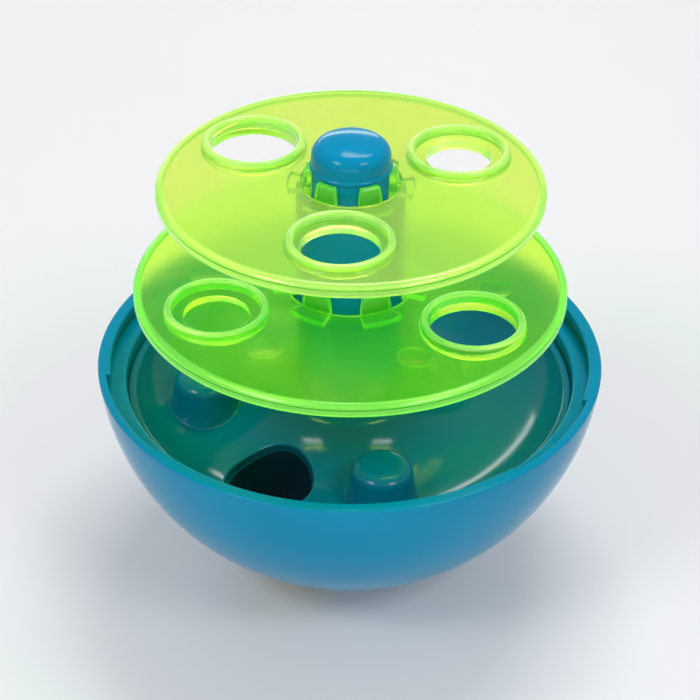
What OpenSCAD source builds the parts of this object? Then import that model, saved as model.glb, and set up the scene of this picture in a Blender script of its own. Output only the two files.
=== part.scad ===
// Treat dispensing wobble toy: weighted ball-shaped bowl with a trough tray and two tiers on a post.
// Origin at the centre of the base, +Z up, -Y towards the front. Millimetres.

/* [Bowl] */
// Outer radius of the ball that the bowl is part of
ball_r = 70; // [64:0.5:80]
// Height of the rim above the base
rim_h = 63; // [56:0.5:66]
// Radius of the flat foot that the toy settles on
foot_r = 14; // [10:0.5:16]
// Wall of the bowl
bowl_wall = 2.6; // [2:0.1:3.2]
// Width of the flat top of the rim
rim_w = 3.6; // [3:0.1:4.5]
// Thickness of the rim's inward lip
lip_t = 2.2; // [1.6:0.1:3]
// Height of the cover's groove under the lip
groove_h = 2.8; // [2.2:0.1:4]
// Wall left outside the groove
groove_wall = 2; // [1.6:0.1:2.4]
// Wall left outside an entry slot of the lip
slot_wall = 2.3; // [2.1:0.1:2.8]
// Number of entry slots for the cover's tabs
slot_count = 3; // [2:1:4]
// Angle that each entry slot spans
slot_angle = 32; // [20:1:40]
// Break along the edges of the rim
rim_edge = 0.6; // [0.3:0.1:0.8]
// Width of the ledge between the lip and the tray
ledge_w = 4.1; // [3:0.1:5]

/* [Tray] */
// Depth of the tray's edge below the ledge
tray_drop = 3.5; // [2.5:0.1:4.5]
// Width of the tray's flat edge
tray_edge_w = 2; // [1.6:0.1:3]
// Depth of the trough below the tray's edge
trough_depth = 11.4; // [9:0.1:13]
// How far the hump reaches past the column, level with the tray's edge
hump_reach = 7.5; // [6.5:0.1:9]
// Height of the hump's top above the tray's edge
hump_rise = 1.5; // [0.5:0.1:3]
// Rounding of the hump's shoulder
hump_round = 3.5; // [2.5:0.1:4]
// Wall of the tray
tray_wall = 2; // [1.6:0.1:2.4]
// Depth of the socket that the column stands in
socket_depth = 0.8; // [0.4:0.1:1]

/* [Pegs] */
// Number of pegs in the trough
peg_count = 3; // [2:1:3]
// Turn from the exit to the first peg
peg_first = 200; // [195:0.5:205]
// Turn from one peg to the next
peg_turn = 103; // [100:0.5:106]
// Height of a peg above the trough's bottom
peg_h = 11.9; // [9:0.1:13]
// Radius of a peg at the trough's bottom
peg_base_r = 9.6; // [9:0.1:10.5]
// Radius of a peg below its rounded top
peg_top_r = 8.4; // [7:0.1:8.8]
// Rounding of a peg's top edge
peg_round = 3.2; // [2.4:0.1:4]

/* [Exit] */
// Direction of the exit, counted from +X
exit_angle = 241; // [200:1:280]
// How far the exit lies inwards of the trough's bottom
exit_inset = 2.2; // [1:0.1:3]
// Radius of the exit hole in the tray
exit_r = 11.8; // [11.4:0.1:12.5]
// Radius of the chute's bore
chute_r = 11; // [9:0.1:11.2]
// Wall of the chute
chute_wall = 1.8; // [1.4:0.1:2.2]

/* [Column] */
// Radius of the column
column_r = 14.6; // [13.5:0.1:15.5]
// Wall of the column
column_wall = 2.2; // [1.8:0.1:2.6]
// How far the collar under the lower disc stands out from the column
seat_w = 2; // [1.5:0.1:3]
// Height of that collar
seat_h = 2; // [1.5:0.5:4]
// Radius of the neck that the upper disc turns on
neck_r = 10.35; // [9.5:0.05:11]
// How far the lip under the knob stands out from the neck
knob_lip = 0.6; // [0.4:0.05:0.7]
// Height of that lip
knob_lip_h = 0.8; // [0.6:0.1:1.2]
// How far the knob's side stands out from the neck
knob_out = 0.2; // [0.1:0.05:0.3]
// Height of the knob's side, with its lip
knob_side_h = 3.6; // [3:0.1:7]
// Rounding of the knob's top edge
knob_round = 4; // [3:0.1:5]
// Slope at which the rounded edge runs into the knob's dome
dome_angle = 75; // [65:1:80]

/* [Discs] */
// Radius of the lower disc
lower_disc_r = 58.8; // [56:0.2:60]
// Height of the lower disc's top above the rim
lower_disc_h = 24.75; // [20:0.25:27]
// Direction of the lower disc's large hole
lower_hole_angle = 330; // [0:5:355]
// Radius of the upper disc
upper_disc_r = 51.5; // [49:0.25:54]
// Height of the upper disc's top above the rim
upper_disc_h = 55.5; // [48:0.25:60]
// Direction of the upper disc's large hole
upper_hole_angle = 150; // [0:5:355]
// Thickness of a disc
plate_t = 2; // [1.6:0.1:2.4]
// Height of a disc's edge, from its top to the bottom of its skirt
skirt_h = 3.4; // [3:0.1:4.5]
// Thickness of the skirt
skirt_t = 1.7; // [1.4:0.1:2.2]
// Rounding of a disc's top edge
edge_round = 2; // [1.8:0.1:2.4]
// Angle of that rounding above the level where it meets the skirt in a crease
crease_angle = 26; // [10:1:40]

/* [Treat holes] */
// Number of collared holes in a disc
hole_count = 3; // [3:1:3]
// Outer radius of a hole's collar
collar_r = 13.9; // [13.6:0.1:14.4]
// Thickness of a collar
collar_t = 2; // [1.6:0.1:2]
// Height of a collar above its disc
collar_h = 2.1; // [1.5:0.1:3]
// Distance from a collar to the disc's rim
collar_margin = 5.7; // [4:0.1:6]
// Radius of the large hole
large_hole_r = 11.8; // [11:0.1:11.9]
// Radius of the middle hole
middle_hole_r = 10.2; // [9.6:0.1:10.8]
// Radius of the small hole
small_hole_r = 8.8; // [7:0.1:9.4]
// Depth of the step inside a narrowed hole, below the disc's top
step_depth = 0.65; // [0.4:0.05:1]
// Thickness of the web that closes one collar of the lower disc
web_t = 1; // [0.8:0.1:1.2]
// Number of round pads under the lower disc
pad_count = 6; // [3:3:6]
// Radius of those pads
pad_r = 4.5; // [3:0.5:5]
// Height of those pads
pad_h = 0.3; // [0.2:0.1:0.5]

/* [Hubs] */
// Number of fingers round a hub
finger_count = 6; // [4:1:6]
// Angle that each finger spans
finger_angle = 31; // [20:1:34]
// Thickness of a finger at its root
finger_t = 2.3; // [2:0.1:2.6]
// Thickness of a finger at its tip
finger_tip_t = 1.8; // [1.4:0.1:2]
// Height of a finger above its disc
finger_h = 3.7; // [2.5:0.1:3.8]
// Gap between the fingers and the hub's hole
hub_gap = 0.75; // [0.7:0.05:1.4]
// Thickness of the foot that joins a finger to its disc
foot_t = 1.8; // [1.4:0.1:2.2]
// How far the foot reaches under the disc past the hub's hole
foot_reach = 3.4; // [2:0.1:4]
// Size of the fillet where the foot runs into the disc
foot_root = 0.6; // [0.4:0.1:0.7]

/* [Weight] */
// Radius of the steel weight
weight_r = 15; // [12:0.5:16]
// Height of the weight
weight_h = 22; // [16:1:26]
// Floor of the cup under the weight
cup_floor = 3; // [2.5:0.5:4]
// Wall of the weight's cup
cup_wall = 2.2; // [1.8:0.1:2.6]
// Thickness of the cup's lid
cap_t = 2; // [1.6:0.2:3]

/* [Screws] */
// Number of screws in the column and in the lid
screw_count = 3; // [2:1:3]
// Outer radius of a screw's thread
screw_r = 1.5; // [1.25:0.05:1.7]
// Radius of a screw's head
head_r = 2.8; // [2.4:0.1:3]
// Height of a screw's head
head_h = 1.8; // [1.4:0.1:2.2]
// Length of a screw's shank
screw_l = 10; // [8:1:12]
// Radius of a screw boss
boss_r = 3.4; // [3:0.1:3.8]

/* [Fits] */
// Radial clearance of a turning hub on the column
turn_fit = 0.1; // [0.05:0.01:0.1]
// Height of the gap under and over a turning hub
turn_gap = 0.25; // [0.2:0.05:0.4]
// Clearance of pieces that are laid in place
lay_fit = 0.2; // [0.1:0.05:0.3]
// Clearance of a screw's thread in its hole
thread_fit = 0.05; // [0.02:0.01:0.1]
// Gap round the tray's edge and over the chute
seam = 0.4; // [0.3:0.05:0.5]

/* [Hidden] */
$fn = 96;
arc_steps = 10;
cut = 1;
blue = [0, 0.53, 0.69];
green = [0.62, 0.92, 0.25, 0.75];
steel = [0.62, 0.63, 0.65];

// Ball, rim and ledge
ball_z = sqrt(ball_r * ball_r - foot_r * foot_r);
bowl_in_r = ball_r - bowl_wall;
bowl_mid_r = ball_r - bowl_wall / 2;
rim_r = sqrt(ball_r * ball_r - pow(ball_z - rim_h, 2));
lip_in_r = rim_r - rim_w;
groove_r = rim_r - groove_wall;
slot_r = rim_r - slot_wall;
ledge_in_r = lip_in_r - ledge_w;
groove_top = rim_h - lip_t;
ledge_top = groove_top - groove_h;

// Tray: the trough's section is a circle through the tray's edge and the hump's edge
tray_r = ledge_in_r - seam;
tray_top = ledge_top - tray_drop;
tray_under = tray_top - tray_wall;
trough_edge_r = tray_r - tray_edge_w;
hump_edge_r = column_r + hump_reach;
trough_ring_r = (trough_edge_r + hump_edge_r) / 2;
trough_half = (trough_edge_r - hump_edge_r) / 2;
trough_r = (trough_half * trough_half + trough_depth * trough_depth) / (2 * trough_depth);
trough_bottom = tray_top - trough_depth;
trough_z = trough_bottom + trough_r;
trough_out_r = trough_r + tray_wall;
shelf_in_r = trough_ring_r + sqrt(pow(trough_out_r, 2) - pow(trough_z - tray_under, 2)) + lay_fit;
hump_top = tray_top + hump_rise;
hump_under = hump_top - tray_wall;
socket_z = hump_top - socket_depth;

// Discs and column
lower_z = rim_h + lower_disc_h;
upper_z = rim_h + upper_disc_h;
lower_seat_z = lower_z - plate_t - foot_t - turn_gap;
upper_seat_z = upper_z - plate_t - foot_t - turn_gap;
knob_z = upper_z + finger_h + turn_gap;
knob_round_z = knob_z + knob_side_h;
knob_r = neck_r + knob_out;
knob_lip_r = neck_r + knob_lip;
seat_r = column_r + seat_w;
column_bore_r = column_r - column_wall;
neck_bore_r = neck_r - column_wall;
collar_in_r = collar_r - collar_t;

// Weight, chute and screws
cup_in_r = weight_r + lay_fit;
cup_r = cup_in_r + cup_wall;
cup_top = cup_floor + weight_h + lay_fit;
exit_ring_r = trough_ring_r - exit_inset;
outlet_ring_r = cup_r + chute_r + chute_wall / 2;
chute_lean = atan2(exit_ring_r - outlet_ring_r, trough_bottom - cup_floor);
pilot_r = screw_r + thread_fit;
pass_r = screw_r + lay_fit;
cap_screw_ring_r = cup_r + boss_r / 2;
cap_screw_start = exit_angle + 180 / screw_count;
column_screw_ring_r = column_bore_r - boss_r / 2;

// Points along an arc in a section
function arc(centre, r, from, to, steps = arc_steps) =
    [for (i = [0 : steps])
        let (a = from + (to - from) * i / steps)
        centre + r * [cos(a), sin(a)]];

// Repeats its children round the axis, evenly or at a given turn
module ring(count, r, start = 0, turn = 0) {
    step = turn > 0 ? turn : 360 / count;
    for (i = [0 : count - 1])
        rotate(start + i * step) translate([r, 0, 0]) children();
}

// Puts its children on the chute's leaning axis, with their zero at the trough's bottom
module on_chute() {
    rotate(exit_angle) translate([exit_ring_r, 0, trough_bottom]) rotate([0, chute_lean, 0]) children();
}

// Ball inside the bowl's wall, which ends what stands on the wall
module ball_core() {
    translate([0, 0, ball_z]) sphere(bowl_mid_r, $fn = 180);
}

// Outline of the weight's cup and its screw bosses, which the lid shares
module cup_outline() {
    circle(cup_r);
    ring(screw_count, cap_screw_ring_r, cap_screw_start) circle(boss_r);
}

// Section of the space in the bowl, under the rim's lip and over the tray's ledge and the floor
module bowl_space() {
    shelf_under = tray_under - tray_wall;
    difference() {
        union() {
            translate([0, ball_z]) circle(bowl_in_r, $fn = 180);
            translate([lip_in_r, ledge_top - cut]) square([groove_r - lip_in_r, groove_h + 2 * cut]);
        }
        translate([lip_in_r, groove_top]) square([rim_w, lip_t + cut]);
        polygon([[ball_r, ledge_top], [ledge_in_r, ledge_top], [ledge_in_r, tray_under],
                 [shelf_in_r, tray_under], [shelf_in_r, shelf_under], [ball_r, shelf_under]]);
        translate([-cut, -cut]) square([cup_r + cut, cup_floor + cut]);
    }
}

module bowl_section() {
    difference() {
        intersection() {
            translate([0, ball_z]) circle(ball_r, $fn = 180);
            square([ball_r + cut, rim_h]);
        }
        bowl_space();
        polygon([[rim_r - rim_edge, rim_h + cut], [rim_r - rim_edge, rim_h],
                 [rim_r + rim_edge, rim_h - 2 * rim_edge], [rim_r + cut, rim_h + cut]]);
        polygon([[lip_in_r - rim_edge, rim_h - 2 * rim_edge], [lip_in_r + rim_edge, rim_h],
                 [lip_in_r + rim_edge, rim_h + cut], [lip_in_r - rim_edge, rim_h + cut]]);
    }
}

// Tube from the exit down to the ball's wall, trimmed under the tray
module chute_tube() {
    reach = trough_bottom + cut;
    difference() {
        intersection() {
            on_chute() translate([0, 0, -reach]) cylinder(h = reach + trough_depth, r = chute_r + chute_wall);
            ball_core();
        }
        rotate_extrude() translate([trough_ring_r, trough_z]) circle(trough_out_r + seam);
    }
}

module bowl_shell() {
    color(blue)
    difference() {
        union() {
            rotate_extrude($fn = 180) bowl_section();
            intersection() {
                translate([0, 0, cup_floor / 2]) linear_extrude(cup_top - cup_floor / 2) cup_outline();
                ball_core();
            }
            chute_tube();
        }
        translate([0, 0, cup_floor]) cylinder(h = cup_top, r = cup_in_r);
        ring(screw_count, cap_screw_ring_r, cap_screw_start)
            translate([0, 0, cup_top - screw_l]) cylinder(h = screw_l + cut, r = pilot_r);
        on_chute() translate([0, 0, -trough_bottom - cut]) cylinder(h = trough_bottom + trough_depth, r = chute_r);
        for (i = [0 : slot_count - 1])
            rotate(90 + i * 360 / slot_count - slot_angle / 2)
                rotate_extrude(angle = slot_angle)
                    translate([lip_in_r - cut, groove_top - cut])
                        square([slot_r - lip_in_r + cut, lip_t + 2 * cut]);
    }
}

// Section of the tray: flat edge, round trough, rounded hump and its flat top
module tray_section() {
    shoulder_z = hump_top - hump_round;
    shoulder_r = trough_ring_r - sqrt(pow(trough_r + hump_round, 2) - pow(trough_z - shoulder_z, 2));
    meet = atan2(trough_z - shoulder_z, trough_ring_r - shoulder_r);
    edge_top = asin((tray_top - trough_z) / trough_r);
    edge_under = asin((tray_under - trough_z) / trough_out_r);
    centre = [trough_ring_r, trough_z];
    shoulder = [shoulder_r, shoulder_z];
    polygon(concat(
        [[0, hump_top]],
        arc(shoulder, hump_round, 90, meet),
        arc(centre, trough_r, 180 + meet, 360 + edge_top, 3 * arc_steps),
        [[tray_r, tray_top], [tray_r, tray_under]],
        arc(centre, trough_out_r, 360 + edge_under, 180 + meet, 3 * arc_steps),
        arc(shoulder, hump_round - tray_wall, meet, 90),
        [[0, hump_under]]));
}

// Rounded peg that reaches down past the trough, or its hollow at a wall's distance inside
module peg(inset = 0) {
    top = trough_bottom + peg_h - inset;
    round_r = peg_round - inset / 2;
    side_r = peg_top_r - inset;
    bottom = trough_bottom - 2 * tray_wall;
    rotate_extrude()
        polygon(concat([[0, bottom], [peg_base_r - inset, bottom], [peg_base_r - inset, trough_bottom]],
                       arc([side_r - round_r, top - round_r], round_r, 0, 90), [[0, top]]));
}

module tray() {
    peg_start = exit_angle + peg_first;
    color(blue)
    difference() {
        union() {
            rotate_extrude($fn = 180) tray_section();
            intersection() {
                ring(peg_count, trough_ring_r, peg_start, peg_turn) peg();
                rotate_extrude() translate([trough_ring_r, trough_z]) circle(trough_r + tray_wall / 2);
            }
        }
        ring(peg_count, trough_ring_r, peg_start, peg_turn) peg(tray_wall);
        on_chute() translate([0, 0, -trough_depth]) cylinder(h = 2 * trough_depth, r = exit_r);
        translate([0, 0, socket_z]) cylinder(h = socket_depth + cut, r = column_r + lay_fit);
        ring(screw_count, column_screw_ring_r)
            translate([0, 0, hump_under - cut]) cylinder(h = tray_wall + 2 * cut, r = pass_r);
    }
}

// Outline of the column, the lower disc's collar, the neck and the domed knob
module column_section() {
    round_r = knob_r - knob_round;
    dome_r = knob_round + round_r / cos(dome_angle);
    dome_z = knob_round_z - round_r * tan(dome_angle);
    polygon(concat(
        [[0, socket_z], [column_r, socket_z], [column_r, lower_seat_z - seat_h - seat_w],
         [seat_r, lower_seat_z - seat_h], [seat_r, lower_seat_z], [column_r, lower_seat_z],
         [column_r, upper_seat_z], [neck_r, upper_seat_z], [neck_r, knob_z],
         [knob_lip_r, knob_z + knob_lip / 2], [knob_lip_r, knob_z + knob_lip_h],
         [knob_r, knob_z + knob_lip_h + knob_lip - knob_out]],
        arc([round_r, knob_round_z], knob_round, 0, dome_angle),
        arc([0, dome_z], dome_r, dome_angle + 1, 90)));
}

module column() {
    post_h = screw_l + column_wall;
    color(blue)
    difference() {
        rotate_extrude() column_section();
        difference() {
            union() {
                translate([0, 0, socket_z - cut])
                    cylinder(h = upper_seat_z - column_wall - socket_z + cut, r = column_bore_r);
                translate([0, 0, socket_z]) cylinder(h = knob_round_z - socket_z, r = neck_bore_r);
            }
            ring(screw_count, column_screw_ring_r)
                translate([0, 0, socket_z - 2 * cut]) cylinder(h = post_h + 2 * cut, r = boss_r);
        }
        ring(screw_count, column_screw_ring_r)
            translate([0, 0, socket_z - cut]) cylinder(h = screw_l + cut, r = pilot_r);
    }
}

// Section of a disc with a round top edge, a crease and a skirt, from the hub's hole outwards
module disc_section(r, hub_r) {
    centre = [r - edge_round * cos(crease_angle), -edge_round];
    skirt_in_r = r - skirt_t;
    polygon(concat(
        [[hub_r, -plate_t], [hub_r, 0]],
        arc(centre, edge_round, 90, crease_angle),
        [[r, -skirt_h], [skirt_in_r, -skirt_h], [skirt_in_r, -plate_t]]));
}

// Collar of a treat hole with a full round top, or a pocket with a web where the hole's radius is zero
module collar(hole_r) {
    bead_r = collar_t / 2;
    floor_points = hole_r > 0
        ? [[hole_r, -step_depth], [hole_r, -skirt_h]]
        : [[small_hole_r, -step_depth], [small_hole_r, web_t - skirt_h], [0, web_t - skirt_h], [0, -skirt_h]];
    rotate_extrude()
        polygon(concat([[collar_r, -skirt_h]], arc([collar_r - bead_r, collar_h - bead_r], bead_r, 0, 180),
                       [[collar_in_r, -step_depth]], floor_points));
}

// Hub finger: an upright tongue on a foot that runs into the disc from below
module finger(in_r, hub_r) {
    foot_z = -plate_t - foot_t;
    foot_r_out = hub_r + foot_reach;
    tongue_r = in_r + finger_t;
    rotate(-finger_angle / 2)
        rotate_extrude(angle = finger_angle)
            polygon([[in_r, foot_z], [foot_r_out, foot_z], [foot_r_out, -plate_t / 2],
                     [hub_r + foot_root, -plate_t / 2], [hub_r - foot_root, -plate_t - foot_root / 2],
                     [tongue_r, -plate_t - foot_root / 2], [tongue_r, 0], [in_r + finger_tip_t, finger_h],
                     [in_r, finger_h]]);
}

// Tier: a disc, its collared holes and a hub of fingers that turns on the column
module tier(r, in_r, hole_angle, hole_radii) {
    hole_ring_r = r - collar_margin - collar_r;
    hub_r = in_r + finger_t + hub_gap;
    difference() {
        rotate_extrude($fn = 180) disc_section(r, hub_r);
        ring(hole_count, hole_ring_r, hole_angle)
            translate([0, 0, -skirt_h]) cylinder(h = 2 * skirt_h, r = collar_r - collar_t / 2);
    }
    for (i = [0 : hole_count - 1])
        rotate(hole_angle + i * 360 / hole_count) translate([hole_ring_r, 0, 0]) collar(hole_radii[i]);
    for (i = [0 : finger_count - 1])
        rotate(i * 360 / finger_count) finger(in_r, hub_r);
}

module lower_disc() {
    pad_ring_r = lower_disc_r - collar_margin - collar_r;
    color(green)
    translate([0, 0, lower_z]) {
        tier(lower_disc_r, column_r + turn_fit, lower_hole_angle, [large_hole_r, middle_hole_r, 0]);
        ring(pad_count, pad_ring_r, lower_hole_angle + 90 / hole_count)
            translate([0, 0, -plate_t - pad_h]) cylinder(h = pad_h + plate_t / 2, r = pad_r);
    }
}

module upper_disc() {
    color(green)
    translate([0, 0, upper_z])
        tier(upper_disc_r, neck_r + turn_fit, upper_hole_angle, [large_hole_r, middle_hole_r, small_hole_r]);
}

module ballast_weight() {
    color(steel)
    translate([0, 0, cup_floor]) cylinder(h = weight_h, r = weight_r);
}

module ballast_cap() {
    color(blue)
    translate([0, 0, cup_top])
    difference() {
        linear_extrude(cap_t) cup_outline();
        ring(screw_count, cap_screw_ring_r, cap_screw_start)
            translate([0, 0, -cut]) cylinder(h = cap_t + 2 * cut, r = pass_r);
    }
}

// Pan-head screw, head up, seated at zero
module screw() {
    crown_r = head_r - head_h / 2;
    rotate_extrude()
        polygon([[0, -screw_l], [screw_r / 2, -screw_l], [screw_r, -screw_l + screw_r], [screw_r, 0],
                 [head_r, 0], [head_r, head_h / 2], [crown_r, head_h], [0, head_h]]);
}

module cap_screws() {
    color(steel)
    ring(screw_count, cap_screw_ring_r, cap_screw_start) translate([0, 0, cup_top + cap_t]) screw();
}

module column_screws() {
    color(steel)
    ring(screw_count, column_screw_ring_r) translate([0, 0, hump_under]) mirror([0, 0, 1]) screw();
}

bowl_shell();
tray();
column();
lower_disc();
upper_disc();
ballast_weight();
ballast_cap();
cap_screws();
column_screws();
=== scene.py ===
# Looks of a treat dispensing wobble toy: glossy blue bowl, pegged tray and post, clear fluorescent discs.
import math

import bmesh
import bpy
from mathutils import Matrix, Vector
from mathutils.geometry import delaunay_2d_cdt


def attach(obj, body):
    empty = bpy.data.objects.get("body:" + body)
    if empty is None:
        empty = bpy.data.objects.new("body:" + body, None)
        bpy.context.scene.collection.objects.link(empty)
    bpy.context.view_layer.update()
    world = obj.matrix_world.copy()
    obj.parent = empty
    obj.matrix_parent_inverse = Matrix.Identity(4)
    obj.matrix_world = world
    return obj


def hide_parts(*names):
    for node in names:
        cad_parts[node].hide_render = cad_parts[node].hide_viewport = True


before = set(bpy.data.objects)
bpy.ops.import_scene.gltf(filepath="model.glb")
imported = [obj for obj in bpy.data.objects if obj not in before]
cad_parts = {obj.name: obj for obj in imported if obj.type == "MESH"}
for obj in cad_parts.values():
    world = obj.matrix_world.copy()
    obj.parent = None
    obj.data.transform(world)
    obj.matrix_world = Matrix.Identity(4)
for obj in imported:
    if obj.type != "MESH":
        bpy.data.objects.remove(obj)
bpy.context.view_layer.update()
MM = 0.001

# Sizes in millimetres, as in the part's source
BALL_R = 70.0
RIM_H = 63.0
FOOT_R = 14.0
BOWL_WALL = 2.6
RIM_W = 3.6
LIP_T = 2.2
GROOVE_H = 2.8
GROOVE_WALL = 2.0
SLOT_WALL = 2.3
SLOT_COUNT = 3
SLOT_START = 90.0
SLOT_ANGLE = 32.0
LEDGE_W = 4.1
SEAM = 0.4
LAY_FIT = 0.2
TRAY_DROP = 3.5
TRAY_EDGE_W = 2.0
TRAY_WALL = 2.0
TROUGH_DEPTH = 11.4
HUMP_REACH = 7.5
HUMP_RISE = 1.5
SOCKET_DEPTH = 0.8
PEG_COUNT = 3
PEG_FIRST = 200.0
PEG_TURN = 103.0
PEG_H = 11.9
PEG_BASE_R = 9.6
PEG_TOP_R = 8.4
PEG_ROUND = 3.2
EXIT_ANGLE = 241.0
EXIT_INSET = 2.2
EXIT_R = 11.8
CHUTE_R = 11.0
CHUTE_WALL = 1.8
COLUMN_R = 14.6
SEAT_W = 2.0
SEAT_H = 2.0
NECK_R = 10.35
KNOB_LIP = 0.6
KNOB_LIP_H = 0.8
KNOB_OUT = 0.2
KNOB_SIDE_H = 3.6
KNOB_ROUND = 4.0
DOME_ANGLE = 75.0
LOWER_DISC_R = 58.8
LOWER_DISC_H = 24.75
LOWER_HOLE_ANGLE = 330.0
UPPER_DISC_R = 51.5
UPPER_DISC_H = 55.5
UPPER_HOLE_ANGLE = 150.0
PLATE_T = 2.0
SKIRT_H = 3.4
SKIRT_T = 1.7
EDGE_ROUND = 2.0
CREASE_ANGLE = 26.0
CREASE_DEPTH = 0.24
HOLE_COUNT = 3
COLLAR_R = 13.9
COLLAR_T = 2.0
COLLAR_H = 2.1
COLLAR_MARGIN = 5.7
LARGE_HOLE_R = 11.8
MIDDLE_HOLE_R = 10.2
SMALL_HOLE_R = 8.8
STEP_DEPTH = 0.65
WEB_T = 1.0
PAD_COUNT = 6
PAD_R = 4.5
PAD_H = 0.3
FINGER_COUNT = 6
FINGER_ANGLE = 31.0
FINGER_T = 2.3
FINGER_TIP_T = 1.8
FINGER_H = 3.7
HUB_GAP = 0.75
FOOT_T = 1.8
FOOT_REACH = 3.4
WEIGHT_R = 15.0
WEIGHT_H = 22.0
CUP_FLOOR = 3.0
CUP_WALL = 2.2
SCREW_COUNT = 3
BOSS_R = 3.4
TURN_FIT = 0.1
TURN_GAP = 0.25

# Places worked out from the sizes
BALL_Z = math.sqrt(BALL_R ** 2 - FOOT_R ** 2)
BOWL_IN_R = BALL_R - BOWL_WALL
RIM_R = math.sqrt(BALL_R ** 2 - (BALL_Z - RIM_H) ** 2)
LIP_IN_R = RIM_R - RIM_W
GROOVE_R = RIM_R - GROOVE_WALL
SLOT_R = RIM_R - SLOT_WALL
LEDGE_IN_R = LIP_IN_R - LEDGE_W
GROOVE_TOP = RIM_H - LIP_T
LEDGE_TOP = GROOVE_TOP - GROOVE_H
TRAY_R = LEDGE_IN_R - SEAM
TRAY_TOP = LEDGE_TOP - TRAY_DROP
TRAY_UNDER = TRAY_TOP - TRAY_WALL
SHELF_UNDER = TRAY_UNDER - TRAY_WALL
TROUGH_EDGE_R = TRAY_R - TRAY_EDGE_W
HUMP_EDGE_R = COLUMN_R + HUMP_REACH
TROUGH_RING_R = (TROUGH_EDGE_R + HUMP_EDGE_R) / 2
TROUGH_HALF = (TROUGH_EDGE_R - HUMP_EDGE_R) / 2
TROUGH_R = (TROUGH_HALF ** 2 + TROUGH_DEPTH ** 2) / (2 * TROUGH_DEPTH)
TROUGH_BOTTOM = TRAY_TOP - TROUGH_DEPTH
TROUGH_Z = TROUGH_BOTTOM + TROUGH_R
SHELF_IN_R = TROUGH_RING_R + LAY_FIT + math.sqrt((TROUGH_R + TRAY_WALL) ** 2 - (TROUGH_Z - TRAY_UNDER) ** 2)
HUMP_TOP = TRAY_TOP + HUMP_RISE
SOCKET_Z = HUMP_TOP - SOCKET_DEPTH
SOCKET_R = COLUMN_R + LAY_FIT
LOWER_Z = RIM_H + LOWER_DISC_H
UPPER_Z = RIM_H + UPPER_DISC_H
LOWER_SEAT_Z = LOWER_Z - PLATE_T - FOOT_T - TURN_GAP
UPPER_SEAT_Z = UPPER_Z - PLATE_T - FOOT_T - TURN_GAP
KNOB_Z = UPPER_Z + FINGER_H + TURN_GAP
KNOB_R = NECK_R + KNOB_OUT
KNOB_LIP_R = NECK_R + KNOB_LIP
COLLAR_IN_R = COLLAR_R - COLLAR_T
CUP_IN_R = WEIGHT_R + LAY_FIT
CUP_R = CUP_IN_R + CUP_WALL
CUP_TOP = CUP_FLOOR + WEIGHT_H + LAY_FIT
EXIT_RING_R = TROUGH_RING_R - EXIT_INSET
OUTLET_RING_R = CUP_R + CHUTE_R + CHUTE_WALL / 2
CHUTE_LEAN = math.atan2(EXIT_RING_R - OUTLET_RING_R, TROUGH_BOTTOM - CUP_FLOOR)
BOSS_RING_R = CUP_R + BOSS_R / 2

# Mesh fineness
TURNS = 288
COLUMN_TURNS = 192
SMALL_TURNS = 96
SHARP_DEGREES = 24.0
WELD = 0.001 * MM
SEEK_STEPS = 40
SEEK_SHARE = 0.7

# Small distances: between faces that must not lie in one plane, and in tests of what a point belongs to
SKIN_GAP = 0.02
NEAR = 0.1


# Outlines in (radius, height) pairs


def arc(cx, cz, r, a0, a1, steps):
    """Points of an arc from angle a0 to a1, in degrees, both ends included."""
    angles = [math.radians(a0 + (a1 - a0) * i / steps) for i in range(steps + 1)]
    return [(cx + r * math.cos(a), cz + r * math.sin(a)) for a in angles]


def fillet(before, corner, after, radius, steps):
    """Arc that rounds one corner of an outline."""
    here = Vector(corner)
    to_before = Vector(before) - here
    to_after = Vector(after) - here
    u = to_before.normalized()
    v = to_after.normalized()
    half = u.angle(v) / 2
    reach = min(radius / math.tan(half), 0.49 * to_before.length, 0.49 * to_after.length)
    r = reach * math.tan(half)
    centre = here + (u + v).normalized() * (r / math.sin(half))
    start = here + u * reach - centre
    a0 = math.atan2(start.y, start.x)
    end = here + v * reach - centre
    sweep = (math.atan2(end.y, end.x) - a0 + math.pi) % (2 * math.pi) - math.pi
    return [(centre.x + r * math.cos(a0 + sweep * i / steps), centre.y + r * math.sin(a0 + sweep * i / steps))
            for i in range(steps + 1)]


def rounded(corners, steps=6):
    """Outline through corners given as (radius, height) or (radius, height, rounding)."""
    points = []
    for i, corner in enumerate(corners):
        if len(corner) == 2:
            points.append(corner)
        else:
            points += fillet(corners[i - 1][:2], corner[:2], corners[i + 1][:2], corner[2], steps)
    return points


# Mesh tools


def turned(outline_at, angles, closed=False):
    """Mesh of an outline turned about Z. outline_at gives the outline at an angle, always with as many
    points."""
    bm = bmesh.new()
    rows = []
    for degrees in angles:
        a = math.radians(degrees)
        rows.append([bm.verts.new((r * math.cos(a), r * math.sin(a), z)) for r, z in outline_at(degrees)])
    count = len(rows[0])
    for i, row in enumerate(rows):
        following = rows[(i + 1) % len(rows)]
        for j in range(count if closed else count - 1):
            k = (j + 1) % count
            bm.faces.new((row[j], following[j], following[k], row[k]))
    bmesh.ops.remove_doubles(bm, verts=bm.verts, dist=1e-5)
    bmesh.ops.dissolve_degenerate(bm, edges=bm.edges, dist=1e-6)
    return bm


def even_angles(count, start=0.0):
    return [start + 360.0 * i / count for i in range(count)]


def mark_sharp(mesh, degrees=SHARP_DEGREES):
    """Welds a mesh in metres and shades it smooth, with hard edges where faces meet at more than an angle."""
    bm = bmesh.new()
    bm.from_mesh(mesh)
    bmesh.ops.remove_doubles(bm, verts=bm.verts, dist=WELD)
    bmesh.ops.dissolve_degenerate(bm, edges=bm.edges, dist=WELD)
    limit = math.radians(degrees)
    for face in bm.faces:
        face.smooth = True
    for edge in bm.edges:
        edge.smooth = len(edge.link_faces) == 2 and edge.calc_face_angle(0.0) < limit
    bm.to_mesh(mesh)
    bm.free()


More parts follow.
